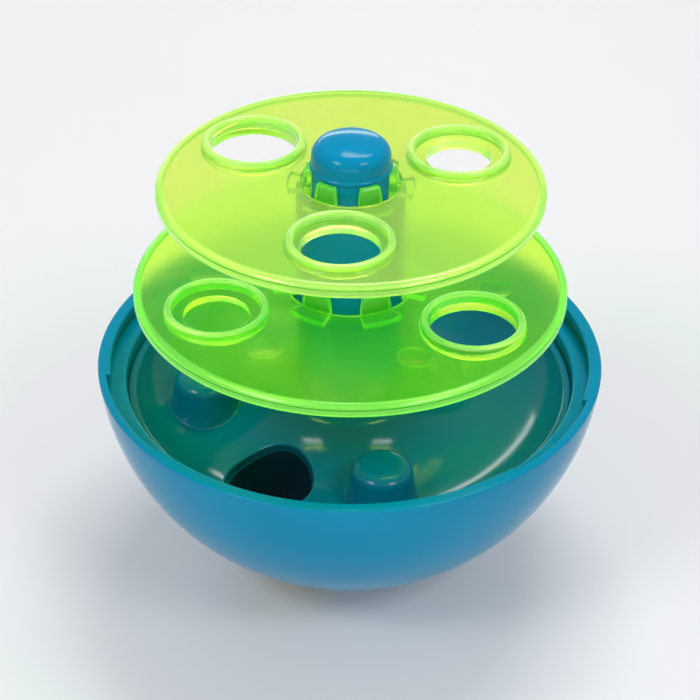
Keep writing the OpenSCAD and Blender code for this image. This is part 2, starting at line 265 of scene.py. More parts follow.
def piece(name, bm, sharp=SHARP_DEGREES):
    """Object from a mesh in millimetres."""
    bmesh.ops.recalc_face_normals(bm, faces=bm.faces)
    mesh = bpy.data.meshes.new(name)
    bm.to_mesh(mesh)
    bm.free()
    mesh.transform(Matrix.Scale(MM, 4))
    mark_sharp(mesh, sharp)
    obj = bpy.data.objects.new(name, mesh)
    bpy.context.scene.collection.objects.link(obj)
    return obj


def combine(target, tool, operation):
    """Boolean of two pieces, kept in the first."""
    modifier = target.modifiers.new("combine", "BOOLEAN")
    modifier.object = tool
    modifier.operation = operation
    modifier.solver = "EXACT"
    modifier.use_self = False
    evaluated = target.evaluated_get(bpy.context.evaluated_depsgraph_get())
    mesh = bpy.data.meshes.new_from_object(evaluated)
    target.modifiers.clear()
    target.data = mesh
    bpy.data.objects.remove(tool)
    mark_sharp(mesh)


# Bowl


def chute_frame():
    """Axes of the leaning chute at the trough's bottom: two across it and one up along it."""
    lean = Matrix.Rotation(CHUTE_LEAN, 4, "Y")
    turn = Matrix.Rotation(math.radians(EXIT_ANGLE), 4, "Z")
    return turn @ Matrix.Translation((EXIT_RING_R, 0, TROUGH_BOTTOM)) @ lean


def rod(name, radius, matrix, low, high, turns=SMALL_TURNS):
    """Plain round bar along a frame's Z, for cuts and bosses."""
    bm = turned(lambda a: [(0, low), (radius, low), (radius, high), (0, high)], even_angles(turns))
    bmesh.ops.transform(bm, matrix=matrix, verts=bm.verts)
    return piece(name, bm)


def bowl_outline(in_slot):
    """Section of the bowl from under its foot, over the rim, down the inside to the weight's cup."""
    def on_ball(r, height):
        return math.degrees(math.asin((height - BALL_Z) / r))

    def inside_at(radius):
        return BALL_Z - math.sqrt(BOWL_IN_R ** 2 - radius ** 2)

    wall = arc(0, BALL_Z, BALL_R, on_ball(BALL_R, 0), on_ball(BALL_R, RIM_H), 72)
    inner_low = on_ball(BOWL_IN_R, inside_at(CUP_R))
    inner = arc(0, BALL_Z, BOWL_IN_R, on_ball(BOWL_IN_R, SHELF_UNDER), inner_low, 40)
    lip_r = SLOT_R if in_slot else LIP_IN_R
    lip_round = 0.12 if in_slot else 0.35
    corners = [(0, 0)] + wall[:-1] + [
        (RIM_R, RIM_H, 0.9),
        (lip_r, RIM_H, 0.5),
        (lip_r, GROOVE_TOP, lip_round),
        (GROOVE_R, GROOVE_TOP, 0.12),
        (GROOVE_R, LEDGE_TOP, 0.5),
        (LEDGE_IN_R, LEDGE_TOP, 0.7),
        (LEDGE_IN_R, TRAY_UNDER, 0.2),
        (SHELF_IN_R, TRAY_UNDER, 0.3),
        (SHELF_IN_R, SHELF_UNDER, 0.3),
    ] + inner + [
        (CUP_R, CUP_TOP, 0.3),
        (CUP_IN_R, CUP_TOP, 0.3),
        (CUP_IN_R, CUP_FLOOR, 0.3),
        (0, CUP_FLOOR),
    ]
    return rounded(corners)


def make_bowl():
    step = 0.15
    edges = []
    for i in range(SLOT_COUNT):
        middle = SLOT_START + 360.0 * i / SLOT_COUNT
        edges += [(middle - SLOT_ANGLE / 2) % 360, (middle + SLOT_ANGLE / 2) % 360]
    angles = [a for a in even_angles(TURNS) if min(abs(a - e) for e in edges) > 3 * step]
    angles += [e + side for e in edges for side in (-step, step)]
    plain = bowl_outline(False)
    slotted = bowl_outline(True)

    def outline_at(a):
        off = [abs((a - SLOT_START - 360.0 * i / SLOT_COUNT + 180) % 360 - 180) for i in range(SLOT_COUNT)]
        return slotted if min(off) < SLOT_ANGLE / 2 else plain

    bowl = piece("bowl", turned(outline_at, sorted(angles)))
    chute = chute_frame()
    combine(bowl, make_chute_wall(chute), "UNION")
    for i in range(SCREW_COUNT):
        turn = Matrix.Rotation(math.radians(EXIT_ANGLE + 180 / SCREW_COUNT + 360 * i / SCREW_COUNT), 4, "Z")
        boss_at = turn @ Matrix.Translation((BOSS_RING_R, 0, 0))
        combine(bowl, rod("boss", BOSS_R, boss_at, 2 * CUP_FLOOR, CUP_TOP - SKIN_GAP), "UNION")
    bore_spare = 20.0
    combine(bowl, rod("bore", CHUTE_R, chute, -TROUGH_BOTTOM - bore_spare, TROUGH_DEPTH), "DIFFERENCE")
    # The bore is marked for painted shade and a duller finish
    paint_bore_shade(bowl, chute, CHUTE_R, share=1.0)
    return bowl


def paint_bore_shade(holed, chute, radius, share):
    """Marks the points of a bore along the chute, which the mould leaves dull. There the colour is
    darkened as painted shade of the unlit bore.
    """
    to_chute = chute.inverted()
    reach = radius + NEAR / 2
    layer = holed.data.attributes.new("bore", "FLOAT", "POINT")
    for vert in holed.data.vertices:
        local = to_chute @ (vert.co / MM)
        layer.data[vert.index].value = share if math.hypot(local.x, local.y) < reach else 0.0


def make_chute_wall(chute):
    """Solid leaning bar from inside the ball's wall up to just under the tray."""
    bm = bmesh.new()
    radius = CHUTE_R + CHUTE_WALL
    mid_wall = BALL_R - BOWL_WALL / 2
    low_ring = []
    high_ring = []
    for a in even_angles(SMALL_TURNS):
        side = Vector((radius * math.cos(math.radians(a)), radius * math.sin(math.radians(a)), 0))
        low_ring.append(bm.verts.new(down_to_ball(chute, side, mid_wall)))
        high_ring.append(bm.verts.new(up_to_tray(chute, side, TRAY_WALL + SEAM)))
    for i in range(SMALL_TURNS):
        k = (i + 1) % SMALL_TURNS
        bm.faces.new((low_ring[i], low_ring[k], high_ring[k], high_ring[i]))
    low = bm.verts.new(down_to_ball(chute, Vector((0, 0, 0)), mid_wall))
    high = bm.verts.new(up_to_tray(chute, Vector((0, 0, 0)), TRAY_WALL + SEAM))
    for i in range(SMALL_TURNS):
        k = (i + 1) % SMALL_TURNS
        bm.faces.new((low_ring[k], low_ring[i], low))
        bm.faces.new((high_ring[i], high_ring[k], high))
    return piece("chute_wall", bm)


def down_to_ball(chute, side, ball_r):
    """Point straight down the chute from a point beside its axis, on a ball about the bowl's centre."""
    start = chute @ side - Vector((0, 0, BALL_Z))
    along = -(chute.to_3x3() @ Vector((0, 0, 1)))
    half_b = start.dot(along)
    travel = -half_b + math.sqrt(half_b ** 2 - start.length_squared + ball_r ** 2)
    return chute @ side + along * travel


def up_to_tray(chute, side, below):
    """Point on a line along the chute at a given depth under the tray's plain surface."""
    along = chute.to_3x3() @ Vector((0, 0, 1))
    point = chute @ side
    for _ in range(SEEK_STEPS):
        gap = plain_height(math.hypot(point.x, point.y)) - below - point.z
        point = point + along * (SEEK_SHARE * gap)
    return point


# Tray


def tray_outline():
    """Section of the tray's upper side, from the axis outwards."""
    def shoulder(level, radius, side):
        z = level - radius
        reach = math.sqrt((TROUGH_R + radius) ** 2 - (TROUGH_Z - z) ** 2)
        return TROUGH_RING_R + side * reach, z, math.degrees(math.atan2(TROUGH_Z - z, reach))

    edge_round = 1.1
    hump_round = 5.0
    socket_round = 0.3
    socket_lean = 0.05
    rim_round = 0.5
    hump_r, hump_z, hump_meet = shoulder(HUMP_TOP, hump_round, -1)
    edge_r, edge_z, edge_meet = shoulder(TRAY_TOP, edge_round, 1)
    return ([(0, SOCKET_Z), (SOCKET_R - socket_lean, SOCKET_Z)]
            + arc(SOCKET_R + socket_round, HUMP_TOP - socket_round, socket_round, 180, 90, 4)
            + arc(hump_r, hump_z, hump_round, 90, hump_meet, 14)
            + arc(TROUGH_RING_R, TROUGH_Z, TROUGH_R, 180 + hump_meet, 360 - edge_meet, 64)[1:-1]
            + arc(edge_r, edge_z, edge_round, 180 - edge_meet, 90, 8)
            + arc(TRAY_R - rim_round, TRAY_TOP - rim_round, rim_round, 90, 5, 5))


TRAY_OUTLINE = tray_outline()


def plain_height(r):
    """Height of the tray's upper side without its pegs."""
    for (r0, z0), (r1, z1) in zip(TRAY_OUTLINE, TRAY_OUTLINE[1:]):
        if r <= r1:
            return z0 + (z1 - z0) * (r - r0) / (r1 - r0)
    return TRAY_OUTLINE[-1][1]


PEG_ANGLES = [math.radians(EXIT_ANGLE + PEG_FIRST + PEG_TURN * i) for i in range(PEG_COUNT)]
PEG_PLACES = [(TROUGH_RING_R * math.cos(a), TROUGH_RING_R * math.sin(a)) for a in PEG_ANGLES]
PEG_PATCH_R = 13.0
PEG_BLEND = 5.0


def peg_height(rho):
    """Height of a peg's own form at a distance from its middle. Its drafted side is carried on downwards."""
    top = TROUGH_BOTTOM + PEG_H
    flat_r = PEG_TOP_R - PEG_ROUND
    if rho <= flat_r:
        return top
    if rho < PEG_TOP_R:
        return top - PEG_ROUND + math.sqrt(PEG_ROUND ** 2 - (rho - flat_r) ** 2)
    slope = (PEG_H - PEG_ROUND) / (PEG_BASE_R - PEG_TOP_R)
    return top - PEG_ROUND - (rho - PEG_TOP_R) * slope


def smooth_max(a, b, width):
    share = min(max(0.5 + 0.5 * (a - b) / width, 0.0), 1.0)
    return b + (a - b) * share + width * share * (1 - share)


def tray_height(x, y):
    height = plain_height(math.hypot(x, y))
    for px, py in PEG_PLACES:
        rho = math.hypot(x - px, y - py)
        if rho < PEG_PATCH_R:
            height = smooth_max(height, peg_height(rho), PEG_BLEND)
    return height


def exit_rings(chute, offsets, turns, edge_round):
    """Rings of points on the tray round the exit hole, with the hole's edge rounded over."""
    rings = []
    along = chute.to_3x3() @ Vector((0, 0, 1))
    for offset in offsets:
        ring = []
        sunk = 0.0
        if offset < edge_round:
            sunk = edge_round - math.sqrt(edge_round ** 2 - (edge_round - offset) ** 2)
        for a in even_angles(turns):
            point = chute @ Vector(((EXIT_R + offset) * math.cos(math.radians(a)),
                                    (EXIT_R + offset) * math.sin(math.radians(a)), 0))
            for _ in range(SEEK_STEPS):
                point = point + along * (SEEK_SHARE * (tray_height(point.x, point.y) - point.z))
            ring.append((point.x, point.y, point.z - sunk))
        rings.append(ring)
    return rings


def make_tray():
    chute = chute_frame()
    to_chute = chute.inverted()
    exit_turns = 144
    exit_clear = EXIT_R + 3.2
    exit_round = 0.6
    exit_offsets = (0, 0.04, 0.12, 0.24, 0.4, exit_round, 1.0, 1.7, 2.7)
    rings = exit_rings(chute, exit_offsets, exit_turns, exit_round)
    points = [p for ring in rings for p in ring]

    # Rings round each peg, close together on its rounding and its steep side
    flat_r = PEG_TOP_R - PEG_ROUND
    radii = [1.8, 3.6, flat_r]
    radii += [flat_r + PEG_ROUND * math.sin(math.radians(a)) for a in range(10, 90, 8)]
    side_step = 0.07
    radii += [PEG_TOP_R + side_step * i for i in range(22)]
    radii += [10.2, 10.6, 11.1, 11.7, 12.3, PEG_PATCH_R]
    for px, py in PEG_PLACES:
        points.append((px, py, tray_height(px, py)))
        for rho in radii:
            for a in even_angles(SMALL_TURNS):
                x = px + rho * math.cos(math.radians(a))
                y = py + rho * math.sin(math.radians(a))
                points.append((x, y, tray_height(x, y)))

    # Rings of the whole tray, left out where the pegs and the exit have their own
    peg_clear = PEG_PATCH_R + 0.5

    def taken(x, y, z):
        if any(math.hypot(x - px, y - py) < peg_clear for px, py in PEG_PLACES):
            return True
        local = to_chute @ Vector((x, y, z))
        return math.hypot(local.x, local.y) < exit_clear

    points.append((0, 0, SOCKET_Z))
    rim_start = None
    for r, z in TRAY_OUTLINE[1:]:
        rim_start = len(points)
        for a in even_angles(TURNS):
            x = r * math.cos(math.radians(a))
            y = r * math.sin(math.radians(a))
            if not taken(x, y, z):
                points.append((x, y, z))

    hole_loop = list(range(exit_turns))
    rim_loop = list(range(rim_start, rim_start + TURNS))
    loop_edges = []
    for loop in (hole_loop, rim_loop):
        loop_edges += [(loop[i], loop[(i + 1) % len(loop)]) for i in range(len(loop))]
    flat = [Vector((x, y)) for x, y, _ in points]
    _, _, faces, originals, _, _ = delaunay_2d_cdt(flat, loop_edges, [], 0, 1e-6)
    source = [ids[0] for ids in originals]
    bm = bmesh.new()
    top = [bm.verts.new(p) for p in points]
    under = [bm.verts.new((x, y, z - TRAY_WALL)) for x, y, z in points]
    for face in faces:
        a, b, c = [source[i] for i in face]
        if max(a, b, c) < exit_turns:
            continue
        bm.faces.new((top[a], top[b], top[c]))
        bm.faces.new((under[c], under[b], under[a]))
    for a, b in loop_edges:
        bm.faces.new((top[a], top[b], under[b], under[a]))
    tray = piece("pegged_tray", bm, sharp=50.0)
    # The exit hole's wall gets a lighter share of the painted shade and dullness
    paint_bore_shade(tray, chute, EXIT_R, share=0.6)
    return tray


# Column


def make_column():
    knob_flat_r = KNOB_R - KNOB_ROUND
    knob_mid_z = KNOB_Z + KNOB_SIDE_H
    dome_r = KNOB_ROUND + knob_flat_r / math.cos(math.radians(DOME_ANGLE))
    dome_z = knob_mid_z - knob_flat_r * math.tan(math.radians(DOME_ANGLE))
    seat_r = COLUMN_R + SEAT_W
    outline = rounded([
        (0, SOCKET_Z),
        (COLUMN_R, SOCKET_Z, 0.2),
        (COLUMN_R, LOWER_SEAT_Z - SEAT_H - SEAT_W, 0.8),
        (seat_r, LOWER_SEAT_Z - SEAT_H, 0.6),
        (seat_r, LOWER_SEAT_Z, 0.5),
        (COLUMN_R, LOWER_SEAT_Z, 0.3),
        (COLUMN_R, UPPER_SEAT_Z, 0.7),
        (NECK_R, UPPER_SEAT_Z, 0.4),
        (NECK_R, KNOB_Z, 0.15),
        (KNOB_LIP_R, KNOB_Z + KNOB_LIP / 2, 0.3),
        (KNOB_LIP_R, KNOB_Z + KNOB_LIP_H, 0.3),
        (KNOB_R, KNOB_Z + KNOB_LIP_H + KNOB_LIP - KNOB_OUT, 0.6),
        (KNOB_R, knob_mid_z - 0.01),
    ])
    outline += arc(knob_flat_r, knob_mid_z, KNOB_ROUND, 0, DOME_ANGLE, 16)
    outline += arc(0, dome_z, dome_r, DOME_ANGLE, 90, 12)[1:]
    return piece("post", turned(lambda a: outline, even_angles(COLUMN_TURNS)))


# Discs


def ring_loop(bm, r, z, turns, cx=0.0, cy=0.0):
    loop = []
    for a in even_angles(turns):
        loop.append(bm.verts.new((cx + r * math.cos(math.radians(a)), cy + r * math.sin(math.radians(a)), z)))
    return loop


def skin(bm, outline, turns, cx=0.0, cy=0.0):
    """Turned strip about a vertical line at (cx, cy). Returns its first and last loops."""
    loops = [ring_loop(bm, r, z, turns, cx, cy) for r, z in outline if r > 0]
    for first, second in zip(loops, loops[1:]):
        for i in range(turns):
            k = (i + 1) % turns
            bm.faces.new((first[i], first[k], second[k], second[i]))
    if outline[-1][0] == 0:
        middle = bm.verts.new((cx, cy, outline[-1][1]))
        last = loops.pop()
        for i in range(turns):
            bm.faces.new((last[i], last[(i + 1) % turns], middle))
        return loops[0], None
    return loops[0], loops[-1]


def fill_flat(bm, outer, holes):
    """Flat face between an outer loop and the loops of its holes."""
    loops = [outer] + holes
    verts = [v for loop in loops for v in loop]
    edges = []
    start = 0
    owner = []
    for n, loop in enumerate(loops):
        edges += [(start + i, start + (i + 1) % len(loop)) for i in range(len(loop))]
        owner += [n] * len(loop)
        start += len(loop)
    flat = [Vector((v.co.x, v.co.y)) for v in verts]
    _, _, faces, originals, _, _ = delaunay_2d_cdt(flat, edges, [], 0, 1e-6)
    source = [ids[0] for ids in originals]
    for face in faces:
        ids = [source[i] for i in face]
        owners = {owner[i] for i in ids}
        if len(owners) == 1 and owners != {0}:
            continue
        bm.faces.new([verts[i] for i in ids])


def collar_outline(hole_r):
    """Section of a collar from the disc's top, over the bead, to the disc's underside."""
    bead = COLLAR_T / 2
    top_reach = 0.8
    tip_w = 0.8
    fairing_r = COLLAR_R + 0.3
    fairing_end = COLLAR_R + 1.3
    start = rounded([(COLLAR_R + top_reach, 0), (COLLAR_R, 0, 0.35), (COLLAR_R, COLLAR_H - bead)], 5)
    over = arc(COLLAR_R - bead, COLLAR_H - bead, bead, 0, 180, 12)
    inside = [(COLLAR_IN_R, COLLAR_H - bead), (COLLAR_IN_R, -STEP_DEPTH, 0.08), (hole_r, -STEP_DEPTH, 0.2)]
    tail = [(hole_r, -SKIRT_H, 0.25), (hole_r + tip_w, -SKIRT_H, 1.2), (fairing_r, -PLATE_T, 2.5),
            (fairing_end, -PLATE_T)]
    return start[:-1] + over + rounded(inside + tail, 5)[1:]


def make_disc(name, r, z, in_r, hole_angle, hole_radii, webbed, pads):
    hub_r = in_r + FINGER_T + HUB_GAP
    hole_ring_r = r - COLLAR_MARGIN - COLLAR_R
    edge_reach = 0.4
    skirt_reach = 1.0
    hub_reach = hub_r + 0.6
    pad_reach = PAD_R + 0.4
    web_overlap = 0.5
    bm = bmesh.new()
    edge_c = r - EDGE_ROUND * math.cos(math.radians(CREASE_ANGLE))
    skirt_in_r = r - SKIRT_T
    edge = [(edge_c - edge_reach, 0)] + arc(edge_c, -EDGE_ROUND, EDGE_ROUND, 90, CREASE_ANGLE, 10)
    crease_z = edge[-1][1]
    crease_r = r - CREASE_DEPTH
    edge += [(crease_r, crease_z - 0.5 * CREASE_DEPTH), (crease_r, crease_z - 1.5 * CREASE_DEPTH),
             (r, crease_z - 2 * CREASE_DEPTH)]
    edge += rounded([edge[-1], (r, -SKIRT_H, 0.3), (skirt_in_r, -SKIRT_H, 0.3),
                     (skirt_in_r, -PLATE_T, 0.4), (skirt_in_r - skirt_reach, -PLATE_T)], 4)[1:]
    top_outer, under_outer = skin(bm, edge, TURNS)
    hub = rounded([(hub_reach, 0), (hub_r, 0, 0.3), (hub_r, -PLATE_T, 0.3), (hub_reach, -PLATE_T)], 4)
    top_hub, under_hub = skin(bm, hub, SMALL_TURNS)
    top_holes = [top_hub]
    under_holes = [under_hub]
    for i in range(HOLE_COUNT):
        a = math.radians(hole_angle + 360 * i / HOLE_COUNT)
        cx = hole_ring_r * math.cos(a)
        cy = hole_ring_r * math.sin(a)
        first, last = skin(bm, collar_outline(hole_radii[i]), SMALL_TURNS, cx, cy)
        top_holes.append(first)
        under_holes.append(last)
    for i in range(PAD_COUNT if pads else 0):
        a = math.radians(hole_angle + 90 / HOLE_COUNT + 360 * i / PAD_COUNT)
        pad = rounded([(pad_reach, -PLATE_T), (PAD_R, -PLATE_T, 0.1), (PAD_R, -PLATE_T - PAD_H, 0.15),
                       (0, -PLATE_T - PAD_H)], 3)
        first, _ = skin(bm, pad, SMALL_TURNS, hole_ring_r * math.cos(a), hole_ring_r * math.sin(a))
        under_holes.append(first)
    fill_flat(bm, top_outer, top_holes)
    fill_flat(bm, under_outer, under_holes)
    bmesh.ops.translate(bm, vec=(0, 0, z), verts=bm.verts)
    disc = piece(name, bm)
    if webbed is not None:
        a = math.radians(hole_angle + 360 * webbed / HOLE_COUNT)
        middle = Matrix.Translation((hole_ring_r * math.cos(a), hole_ring_r * math.sin(a), z))
        web_r = hole_radii[webbed] + web_overlap
        combine(disc, rod("web", web_r, middle, -SKIRT_H + SKIN_GAP, WEB_T - SKIRT_H), "UNION")
    combine(disc, make_fingers(in_r, hub_r, z), "UNION")
    return disc


def inset(outline, depth):
    """Closed outline drawn in by a small depth, given anticlockwise."""
    points = []
    for i, here in enumerate(outline):
        along = Vector(outline[(i + 1) % len(outline)]) - Vector(outline[i - 1])
        inwards = Vector((-along.y, along.x)).normalized()
        points.append((here[0] + inwards.x * depth, here[1] + inwards.y * depth))
    return points


def make_fingers(in_r, hub_r, z):
    """Ring of L-shaped fingers whose feet run into the disc from below. The tongues narrow upwards."""
    tongue_r = in_r + FINGER_T
    foot_low = -PLATE_T - FOOT_T
    foot_top = -PLATE_T - 0.3
    bridge_out_r = hub_r + 0.4
    bridge_in_r = hub_r - 0.6
    outline = rounded([
        (in_r, foot_low + 0.8), (in_r, foot_low, 0.35), (hub_r + FOOT_REACH, foot_low, 0.4),
        (hub_r + FOOT_REACH, -PLATE_T / 2), (bridge_out_r, -PLATE_T / 2), (bridge_in_r, foot_top),
        (tongue_r, foot_top), (tongue_r, 0, 1.0), (in_r + FINGER_TIP_T, FINGER_H, 0.6),
        (in_r, FINGER_H, 0.45), (in_r, 0),
    ], 4)
    narrowing = 0.14
    bevel = 0.32
    bevel_angle = math.degrees(bevel / tongue_r)
    half = FINGER_ANGLE / 2
    ends = [(bevel_angle * (1 - math.cos(math.radians(a))), bevel * (1 - math.sin(math.radians(a))))
            for a in (0, 30, 60, 90)]
    cuts = [(-half + turn, depth) for turn, depth in ends]
    cuts += [((half - bevel_angle) * (i / 5 - 1), 0.0) for i in range(1, 10)]
    cuts += [(half - turn, depth) for turn, depth in reversed(ends)]
    bm = bmesh.new()
    for n in range(FINGER_COUNT):
        middle = 360.0 * n / FINGER_COUNT
        sections = []
        for turn, depth in cuts:
            section = []
            for r, h in inset(outline, depth):
                a = math.radians(middle + turn * (1 - narrowing * max(h, 0.0) / FINGER_H))
                section.append(bm.verts.new((r * math.cos(a), r * math.sin(a), h + z)))
            sections.append(section)
        for one, two in zip(sections, sections[1:]):
            for j in range(len(outline)):
                k = (j + 1) % len(outline)
                bm.faces.new((one[j], two[j], two[k], one[k]))
        bm.faces.new(sections[0])
        bm.faces.new(list(reversed(sections[-1])))
    return piece("fingers", bm)


# Strengths of the painted glow that stands in for the plastic's fluorescence, by part of the disc
EDGE_GLOW = 1.0
SKIRT_GLOW = 0.5
BEAD_GLOW = 0.8
TIP_GLOW = 0.5
FINGER_GLOW = 0.1
TIP_H = 0.7


def paint_glow_and_crease_shade(disc, r, z, in_r):
    """Stores per point the strength of a painted glow, standing in for the fluorescent light the plastic
    gathers: strong at the outer edge, beads and tips, not on the flats.
    A second layer marks the bottom of the edge groove, which is painted as a dark line of shade."""
    mesh = disc.data
    mesh.attributes.new("painted_edge_glow", "FLOAT", "POINT")
    mesh.attributes.new("crease", "FLOAT", "POINT")
    glow_mask = mesh.attributes["painted_edge_glow"].data
    crease = mesh.attributes["crease"].data
    crease_h = EDGE_ROUND * (math.sin(math.radians(CREASE_ANGLE)) - 1) - CREASE_DEPTH
    crease_half = 0.7 * CREASE_DEPTH
    for vert in mesh.vertices:
        x, y, h = vert.co.x / MM, vert.co.y / MM, vert.co.z / MM - z
        rho = math.hypot(x, y)
        glow = 0.0
        if rho > r - EDGE_ROUND:
            glow = EDGE_GLOW if h > crease_h else SKIRT_GLOW
            # The groove's bottom gets no glow and is marked for a dark line of painted shade
            if abs(h - crease_h) < crease_half and abs(rho - r + CREASE_DEPTH) < CREASE_DEPTH / 2:
                glow = 0.0
                crease[vert.index].value = 1.0
        elif rho < in_r + FINGER_T + NEAR:
            glow = TIP_GLOW if h > FINGER_H - TIP_H else FINGER_GLOW
        elif h > COLLAR_H - COLLAR_T / 2:
            glow = BEAD_GLOW
        glow_mask[vert.index].value = glow


# Materials


def linear(red, green, blue):
    """Scene colour of a screen colour given as 0 to 255."""
    def one(value):
        c = value / 255
        return c / 12.92 if c <= 0.04045 else ((c + 0.055) / 1.055) ** 2.4
    return one(red), one(green), one(blue), 1.0


def new_material(name):
    material = bpy.data.materials.new(name)
    material.use_nodes = True
    tree = material.node_tree
    return material, tree, tree.nodes["Principled BSDF"]


def add_noise(tree, scale, detail, coords):
    noise = tree.nodes.new("ShaderNodeTexNoise")
    noise.inputs["Scale"].default_value = scale
    noise.inputs["Detail"].default_value = detail
    tree.links.new(coords.outputs["Object"], noise.inputs["Vector"])
    return noise.outputs["Fac"]


def add_attribute(tree, name):
    attribute = tree.nodes.new("ShaderNodeAttribute")
    attribute.attribute_name = name
    return attribute.outputs["Fac"]


def add_ramp(tree, source, low, high, low_at=0.35, high_at=0.65):
    ramp = tree.nodes.new("ShaderNodeValToRGB")
    ramp.color_ramp.elements[0].position = low_at
    ramp.color_ramp.elements[0].color = low
    ramp.color_ramp.elements[1].position = high_at
    ramp.color_ramp.elements[1].color = high
    tree.links.new(source, ramp.inputs["Fac"])
    return ramp.outputs["Color"]


def add_range(tree, source, low, high, low_at=0.3, high_at=0.7):
    span = tree.nodes.new("ShaderNodeMapRange")
    span.inputs["From Min"].default_value = low_at
    span.inputs["From Max"].default_value = high_at
    span.inputs["To Min"].default_value = low
    span.inputs["To Max"].default_value = high
    tree.links.new(source, span.inputs["Value"])
    return span.outputs["Result"]


def add_mix(tree, kind, share, source, other):
    """Mix of a socket's value with a fixed one."""
    mix = tree.nodes.new("ShaderNodeMix")
    mix.data_type = kind
    mix.inputs["B"].default_value = other
    tree.links.new(share, mix.inputs["Factor"])
    tree.links.new(source, mix.inputs["A"])
    return mix.outputs["Result"]


def add_larger(tree, one, two):
    larger = tree.nodes.new("ShaderNodeMath")
    larger.operation = "MAXIMUM"
    tree.links.new(one, larger.inputs[0])
    tree.links.new(two, larger.inputs[1])
    return larger.outputs["Value"]


# Colour of the painted shade in the unlit bores, and their duller roughness
BORE_SHADE_COLOUR = (0.0, 0.034, 0.058, 1)
BORE_ROUGH = 0.75
# Colour of a dark line of painted shade at the bottom of the discs' edge groove
CREASE_SHADE_COLOUR = (0.08, 0.36, 0.02, 1)


def moulded_plastic(name, dark, light, rough_low, rough_high, shine):
    """Opaque moulded plastic: faint flow marks in colour, uneven polish and a very fine orange peel."""
    material, tree, shader = new_material(name)
    coords = tree.nodes.new("ShaderNodeTexCoord")
    bore = add_attribute(tree, "bore")
    colour = add_ramp(tree, add_noise(tree, 22.0, 3.0, coords), dark, light)
    polish = add_range(tree, add_noise(tree, 160.0, 4.0, coords), rough_low, rough_high)
    peel = add_noise(tree, 900.0, 2.0, coords)
    bump = tree.nodes.new("ShaderNodeBump")
    bump.inputs["Strength"].default_value = 0.03
    bump.inputs["Distance"].default_value = 0.0004
    tree.links.new(peel, bump.inputs["Height"])
    tree.links.new(bump.outputs["Normal"], shader.inputs["Normal"])
    # Where the bore mark is set, the colour turns to painted shade and the surface rougher
    tree.links.new(add_mix(tree, "RGBA", bore, colour, BORE_SHADE_COLOUR), shader.inputs["Base Color"])
    tree.links.new(add_mix(tree, "FLOAT", bore, polish, BORE_ROUGH), shader.inputs["Roughness"])
    shader.inputs["Specular IOR Level"].default_value = shine
    shader.inputs["IOR"].default_value = 1.5
    return material


def fluorescent_plastic(name, dark, light, clear_share, flat_glow, edge_glow, coat):
    """Clear tinted plastic: hazy inside, polished outside, with a painted glow strongest at its edges,
    letting green light down.
    """
    material, tree, shader = new_material(name)
    coords = tree.nodes.new("ShaderNodeTexCoord")
    crease = add_attribute(tree, "crease")
    glow_mask = add_attribute(tree, "painted_edge_glow")
    colour = add_ramp(tree, add_noise(tree, 18.0, 2.0, coords), dark, light)
    # Base colour turns to painted shade along the bottom of the edge groove
    tree.links.new(add_mix(tree, "RGBA", crease, colour, CREASE_SHADE_COLOUR), shader.inputs["Base Color"])
    haze = add_range(tree, add_noise(tree, 120.0, 3.0, coords), 0.15, 0.19)
    tree.links.new(haze, shader.inputs["Roughness"])
    shader.inputs["Transmission Weight"].default_value = clear_share
    shader.inputs["IOR"].default_value = 1.45
    shader.inputs["Coat Weight"].default_value = coat
    shader.inputs["Coat Roughness"].default_value = 0.04
    # Emission is painted glow for the fluorescence, greater where the glow mark is high
    glow_colour = add_ramp(tree, glow_mask, (0.04, 0.95, 0.02, 1), (0.24, 0.95, 0.12, 1), 0.0, 1.0)
    tree.links.new(glow_colour, shader.inputs["Emission Color"])
    tree.links.new(add_range(tree, glow_mask, flat_glow, edge_glow, 0.0, 1.0), shader.inputs["Emission Strength"])
    clear = tree.nodes.new("ShaderNodeBsdfTransparent")
    clear.inputs["Color"].default_value = (0.30, 0.93, 0.42, 1)
    path = tree.nodes.new("ShaderNodeLightPath")
    unseen = add_larger(tree, path.outputs["Is Shadow Ray"], path.outputs["Is Diffuse Ray"])
    mix = tree.nodes.new("ShaderNodeMixShader")
    tree.links.new(unseen, mix.inputs["Fac"])
    tree.links.new(shader.outputs["BSDF"], mix.inputs[1])
    tree.links.new(clear.outputs["BSDF"], mix.inputs[2])
    tree.links.new(mix.outputs["Shader"], tree.nodes["Material Output"].inputs["Surface"])
    return material


def plated_steel(name):
    material, tree, shader = new_material(name)
    coords = tree.nodes.new("ShaderNodeTexCoord")
    patches = add_noise(tree, 140.0, 4.0, coords)
    colour = add_ramp(tree, patches, (0.50, 0.51, 0.53, 1), (0.64, 0.65, 0.67, 1))
    rough = add_range(tree, add_noise(tree, 420.0, 3.0, coords), 0.28, 0.46)
    tree.links.new(colour, shader.inputs["Base Color"])
    tree.links.new(rough, shader.inputs["Roughness"])
    shader.inputs["Metallic"].default_value = 1.0
    return material


def pale_floor(name):
    material, tree, shader = new_material(name)
    coords = tree.nodes.new("ShaderNodeTexCoord")
    mottle = add_noise(tree, 3.0, 2.0, coords)
    colour = add_ramp(tree, mottle, (0.72, 0.72, 0.73, 1), (0.75, 0.75, 0.76, 1))
    tree.links.new(colour, shader.inputs["Base Color"])
    shader.inputs["Roughness"].default_value = 0.55
    path = tree.nodes.new("ShaderNodeLightPath")
    seen = add_larger(tree, path.outputs["Is Camera Ray"], path.outputs["Is Transmission Ray"])
    seen = add_larger(tree, seen, path.outputs["Is Glossy Ray"])
    shader.inputs["Emission Color"].default_value = (1, 1, 1, 1)
    tree.links.new(add_range(tree, seen, 0.0, 0.10, 0.0, 1.0), shader.inputs["Emission Strength"])
    return material


def dress(obj, material):
    obj.data.materials.clear()
    obj.data.materials.append(material)


# Pieces on their bodies

